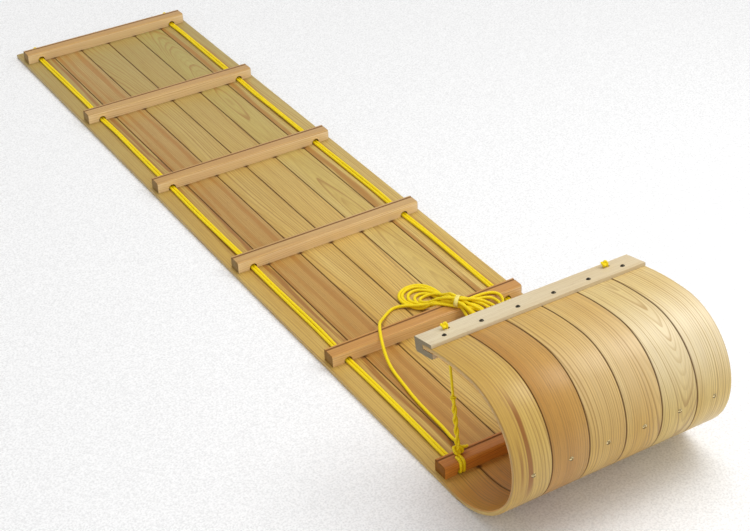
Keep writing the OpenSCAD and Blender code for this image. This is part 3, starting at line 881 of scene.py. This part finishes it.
def boardCopies():
    # the same crossbar at each place, each with its own mesh and its own run of grain
    master = makeCrossbar()
    for index, name in enumerate(bars["names"]):
        choose(master)
        bpy.ops.object.duplicate(linked=False)
        bar = bpy.context.object
        bar.name = "bar%d" % (index + 1)
        bar.location.y = barLow[index].y - barLow[0].y
        applyPlace()
        middle = (barLow[index] + barHigh[index]) / 2
        flip = 1 if index % 2 else -1
        setGrain(bar, lambda p: (p.y - middle.y, flip * p.x, p.z - middle.z))
        finishPiece(bar, barWood[index], "crossbar_wood", name)
    remove(master)


def turnedAbout(point, angle):
    return Matrix.Translation(point) @ Matrix.Rotation(angle, 4, "X") @ Matrix.Translation(-point)


def makeNoseBar():
    # made flat, with its slot and holes, then tipped onto the slats' ends
    half = deck["width"] / 2
    low = -deck["thick"] - nose["fit"] - nose["under"]
    bar = boxBlank("noseBar", (-half, 0, low), (half, nose["wide"], nose["lip"]))
    editOn(bar)
    easeEdges(bar, nose["round"], 5, lambda m, e: m.z < low + 1e-5 and abs(m.x) < half - 1e-4)
    easeEdges(bar, nose["ease"], 2, lambda m, e: m.z > nose["lip"] - 1e-5)
    deselectAll()
    for s in (-1, 1):
        bpy.ops.mesh.primitive_cylinder_add(vertices=40, radius=nose["hole"] / 2, depth=0.06,
                                            location=(s * nose["holeX"], nose["holeIn"], low / 2))
        drill = bpy.context.object
        deselectAll()
        cut(bar, drill)
        remove(drill)
    choose(bar)
    bar.rotation_euler = (-curl["topAngle"], 0, 0)
    bar.location = noseAt
    applyPlace()
    # the slot follows the slats' last bend
    inner = curl["topRadius"] - deck["thick"] - nose["fit"]
    high = deck["thick"] + 2 * nose["fit"]
    slot = sectionRing("slot", 0, topC.y, topC.z + inner + high / 2, deck["width"] + 0.02, high, 0.0001)
    tilt = -(curl["topAngle"] - 0.02)
    bpy.ops.object.mode_set(mode="OBJECT")
    slot.data.transform(turnedAbout(topC, tilt))
    editOn(slot)
    selectAll()
    spinOn(topC, 0.02 + (curl["slotDepth"] + 2 * nose["fit"]) / curl["topRadius"], 10)
    closeUp(slot)
    cut(bar, slot)
    remove(slot)
    smoothBelow(35)
    back = Matrix.Rotation(curl["topAngle"], 4, "X") @ Matrix.Translation(-noseAt)
    setGrain(bar, lambda p: ((back @ p).y - nose["wide"] / 2, p.x, (back @ p).z))
    finishPiece(bar, noseWood, "nose_wood", "nose_bar")


def makeBatten():
    # the strip inside the curl that the front screws hold
    low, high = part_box("curl_batten")
    outer = curl["frontRadius"] - deck["thick"] - nose["fit"]
    spread = math.radians(14)
    middle = outer - curl["batten"] / 2
    batten = sectionRing("battenStrip", 0, frontC.y, frontC.z - middle, high.x - low.x, curl["batten"], 0.0015)
    bpy.ops.object.mode_set(mode="OBJECT")
    start = -(math.pi / 2 - spread / 2)
    batten.data.transform(turnedAbout(frontC, start))
    editOn(batten)
    selectAll()
    spinOn(frontC, spread, 14)
    closeUp(batten)
    setGrain(batten, lambda p: (p.z - frontC.z, p.x, -p.y))
    finishPiece(batten, battenWood, "batten_wood", "curl_batten")


# the cord pieces
pullShape = {"step": 4.0, "heldStart": 10, "heldEnd": 6, "easeRounds": 60, "joinRounds": 30, "lastRounds": 10}


def pullCord():
    turns = hankTurns()
    step = pullShape["step"]
    line = smoothLine(rightRoute + turns + leftRoute, step)
    startCount = len(smoothLine(rightRoute, step)) - pullShape["heldStart"]
    endCount = len(smoothLine(leftRoute, step)) - pullShape["heldEnd"]
    for r in range(pullShape["easeRounds"]):
        for part in (line[8:startCount + 22], line[-endCount:-6]):
            part[1:-1, :2] = (part[:-2, :2] + 2 * part[1:-1, :2] + part[2:, :2]) / 4
    line = settle(line, (startCount, endCount), cord["thick"] * 1000)
    for r in range(pullShape["joinRounds"]):
        joint = line[startCount - 12:startCount + 26]
        joint[1:-1] = (joint[:-2] + 2 * joint[1:-1] + joint[2:]) / 4
    for r in range(pullShape["lastRounds"]):
        line[3:-3] = (line[2:-4] + 2 * line[3:-3] + line[4:-2]) / 4
    line = smoothLine(line[::2], 1.2) / 1000
    line[:, 1] += faceY
    piece, path = braidedCord("pullCord", line, cord["thick"])
    long = float(np.linalg.norm(np.diff(path, axis=0), axis=1).sum())
    print("pull cord is %.2f m" % long)
    return piece, path, long


wrapShape = {"long": 0.008, "acrossHalf": 0.0142, "highHalf": 0.0090, "thick": 0.0014, "ease": 0.0005}


def makeWrap():
    # a pale band that grips the hank over the second crossbar
    low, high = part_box("hank_wrap")
    middle = (low + high) / 2
    deselectAll()
    bpy.ops.mesh.primitive_cylinder_add(vertices=40, radius=1, depth=wrapShape["long"],
                                        end_fill_type="NOTHING", rotation=(0, math.pi / 2, 0))
    band = bpy.context.object
    band.name = "hankWrap"
    applyPlace()
    band.scale = (1, wrapShape["acrossHalf"], wrapShape["highHalf"])
    applyPlace()
    for kind, values in (("SOLIDIFY", {"thickness": wrapShape["thick"], "offset": 1.0}),
                         ("BEVEL", {"width": wrapShape["ease"], "segments": 2})):
        m = band.modifiers.new(kind.lower(), kind)
        for key, value in values.items():
            setattr(m, key, value)
        bpy.ops.object.modifier_apply(modifier=m.name)
    band.rotation_euler.z = math.atan2(-16, 14)
    band.location = middle
    applyPlace()
    smoothBelow(40)
    finishPiece(band, wrapFinish, "yellow_cord", "hank_wrap")
    return band


def makePlainFinish(name, body, rough):
    finish, tree, shader = newFinish(name)
    place = tree.nodes.new("ShaderNodeTexCoord").outputs["Object"]
    slow = speckle(tree, place, (260.0, 260.0, 260.0), 1.0, 3.0, 0.6)
    tree.links.new(mixed(tree, ramp(tree, slow, 0.35, 0.7), colour(body), colour([c * 0.8 for c in body])),
                   shader.inputs["Base Color"])
    tree.links.new(ramp(tree, slow, 0.3, 0.7, rough - 0.06, rough + 0.1), shader.inputs["Roughness"])
    return finish


wrapFinish = makePlainFinish("wrapBand", (0.96, 0.82, 0.22), 0.45)


def handLine(side, name, node):
    x0 = side * cord["lineX"]
    half = cord["thick"] / 2 + 0.0001
    radius = cord["thick"] / 2
    deckZ = deck["thick"] + 0.0001 + radius
    back = barHigh[-1].y + 0.0028
    front = faceY - 0.0001 - radius
    strands = []
    for which in (-1, 1):
        points = []
        y = back
        while y > front + 0.05:
            away = min(abs(y - (a.y + b.y) / 2) for a, b in zip(barLow, barHigh))
            loose = min(max((away - 0.02) / 0.08, 0), 1)
            turn = math.radians(16) * loose * math.sin(y * 9.0 + side)
            sway = 0.0016 * loose * math.sin(y * 5.3 + 2 * side)
            points.append((x0 + sway + which * half * math.cos(turn), y,
                           deckZ + half * abs(math.sin(turn)) + which * half * math.sin(turn)))
            y -= 0.04
        bend = radius + 0.003
        x = x0 + which * half
        for a in range(0, 91, 15):
            r = math.radians(a)
            points.append((x, front + bend - bend * math.sin(r), deckZ + bend - bend * math.cos(r)))
        over = bars["round"] + radius + 0.0001
        for a in range(0, 91, 15):
            r = math.radians(a)
            points.append((x, front + over - over * math.cos(r), barTop - bars["round"] + over * math.sin(r)))
        points.append((x, front + over + 0.008, barTop - bars["round"] + over))
        piece, _ = braidedCord(name, smoothLine(points, 0.0015), cord["thick"] - 0.0002, 0.0015, 14)
        strands.append(piece)
    finishPiece(joined(name, strands), yellowCord, "yellow_cord", node)


def knotLine(middle, size, thick, twist):
    # an overhand knot drawn tight, in a box of that size
    half = (Vector(size) - Vector((thick, thick, thick))) / 2
    points = []
    for s in range(61):
        t = 0.25 + (2 * math.pi - 0.5) * s / 60
        p = Vector(((math.sin(t) + 2 * math.sin(2 * t)) / 3 * half.x, -math.sin(3 * t) * half.y,
                    (math.cos(t) - 2 * math.cos(2 * t)) / 3 * half.z))
        points.append(Matrix.Rotation(twist, 3, "X") @ p + Vector(middle))
    return [tuple(p) for p in points]


def makeKnot(name, node, middle, size, thick, twist, tail=None):
    piece, _ = braidedCord(name, smoothLine(knotLine(middle, size, thick, twist), 0.001), thick, 0.001, 16)
    strands = [piece]
    if tail:
        extra, _ = braidedCord(name + "Tail", smoothLine(tail, 0.001), thick * 0.95, 0.001, 16)
        strands.append(extra)
    finishPiece(joined(name, strands), yellowCord, "yellow_cord", node)


tie = {"thick": 0.0050, "turnLong": 0.042, "apart": 0.0024, "doubled": 0.40, "hitchThick": 0.0034,
       "hitchWide": 0.0042}


def makeTie(side, name, node):
    knotX = side * (cord["lineX"] - 0.006)
    foot = Vector((knotX, barLow[0].y + 0.0216, barTop + 0.0202))
    head = nosePoint(side * (nose["holeX"] + 0.0006), nose["holeIn"], nose["lip"] - 0.0006)
    way = (head - foot).normalized()
    across = way.cross(Vector((1, 0, 0))).normalized()
    other = way.cross(across)
    long = (head - foot).length
    strands = []
    for phase in (0, math.pi):
        points = []
        reach = long if phase == 0 else long * tie["doubled"]
        steps = int(reach / 0.005)
        for s in range(steps + 1):
            d = reach * s / steps
            gap = tie["apart"] * min(max((long * 0.42 - d) / 0.02, 0), 1)
            turn = 2 * math.pi * d / tie["turnLong"] + phase
            points.append(foot + way * d + across * gap * math.cos(turn) + other * gap * math.sin(turn))
        piece, _ = braidedCord(name, smoothLine([tuple(p) for p in points], 0.0012), tie["thick"], 0.0012, 14)
        strands.append(piece)
    hitch = []
    for s in range(25):
        turn = 2 * math.pi * s / 16
        around = across * math.cos(turn) + other * math.sin(turn)
        hitch.append(foot + way * (long * tie["doubled"] + 0.006 * s / 24) + around * tie["hitchWide"])
    piece, _ = braidedCord(name, smoothLine([tuple(p) for p in hitch], 0.001), tie["hitchThick"], 0.001, 12)
    strands.append(piece)
    finishPiece(joined(name, strands), yellowCord, "yellow_cord", node)


pull, pullPath, pullLong = pullCord()
wrap = makeWrap()
finishPiece(pull, yellowCord, "yellow_cord", "pull_cord_right", "pull_cord_left", "pull_cord_hank")
for side, name in ((-1, "right"), (1, "left")):
    handLine(side, "handLine" + name.title(), "hand_line_" + name)
    for kind, thick, twist in (("rear_knot_", 0.0060, 0.4), ("tie_knot_", 0.0060, 1.2),
                               ("nose_knot_", 0.0043, 0.7)):
        low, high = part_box(kind + name)
        size = high - low
        middle = (low + high) / 2
        tail = None
        if kind == "tie_knot_":
            size.x = 0.024
            middle.x = side * (cord["lineX"] - 0.006)
            tail = [tuple(middle + Vector(p)) for p in ((0.004, 0, 0.002), (0.010, -0.001, 0.003),
                                                        (0.016, -0.001, 0.001), (0.021, 0, 0.0))]
            if side > 0:
                tail = [(2 * middle.x - p[0], p[1], p[2]) for p in tail]
        size = Vector((size.x, min(size.y, 0.019), min(size.z, 0.019)))
        makeKnot(kind.title().replace("_", "") + name.title(), kind + name, middle, size, thick, twist, tail)
    makeTie(side, "curlTie" + name.title(), "curl_tie_" + name)
print("cords and knots are tied")

# the wood
for n in range(deck["slats"]):
    makeSlat(n)
print("slats are bent")
boardCopies()
makeNoseBar()
makeBatten()
print("crossbars, nose bar and batten are cut")
for node, finish in (("nose_screws", darkScrew), ("curl_screws", brassScrew), ("deck_screws", brassScrew)):
    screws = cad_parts[node]
    screws.data.materials.clear()
    screws.data.materials.append(finish)

# floor and light
deselectAll()
bpy.ops.mesh.primitive_plane_add(size=40, location=(0, 0, -0.0002))
floor = bpy.context.object
floor.name = "floor"
applyPlace()
floor.data.materials.append(makePlainFinish("paleFloor", (0.97, 0.97, 0.97), 0.8))
studio = {"sky": 0.50, "top": 1.3, "topFrom": (0.25, 0.25, 0.95), "topAngle": 40, "fill": 0.5,
          "fillFrom": (-0.35, -0.80, 0.50), "fillAngle": 50, "soft": 10.0, "softAt": (1.08, -1.22, 1.60),
          "softWide": 0.85,
          "softAim": (0.186, -1.052, 0.277)}
world = bpy.data.worlds.new("studio")
bpy.context.scene.world = world
world.use_nodes = True
world.node_tree.nodes["Background"].inputs["Color"].default_value = (1, 1, 1, 1)
world.node_tree.nodes["Background"].inputs["Strength"].default_value = studio["sky"]
for name in ("top", "fill"):
    bpy.ops.object.light_add(type="SUN")
    sun = bpy.context.object
    sun.name = name + "Light"
    sun.data.energy = studio[name]
    sun.data.angle = math.radians(studio[name + "Angle"])
    sun.rotation_euler = Vector(studio[name + "From"]).to_track_quat("Z", "Y").to_euler()
    sun.visible_glossy = False
bpy.ops.object.light_add(type="AREA", location=studio["softAt"])
soft = bpy.context.object
soft.name = "softBox"
soft.data.energy = studio["soft"]
soft.data.size = studio["softWide"]
soft.rotation_euler = (Vector(studio["softAt"]) - Vector(studio["softAim"])).to_track_quat("Z", "Y").to_euler()
bpy.context.scene.view_settings.view_transform = "Standard"
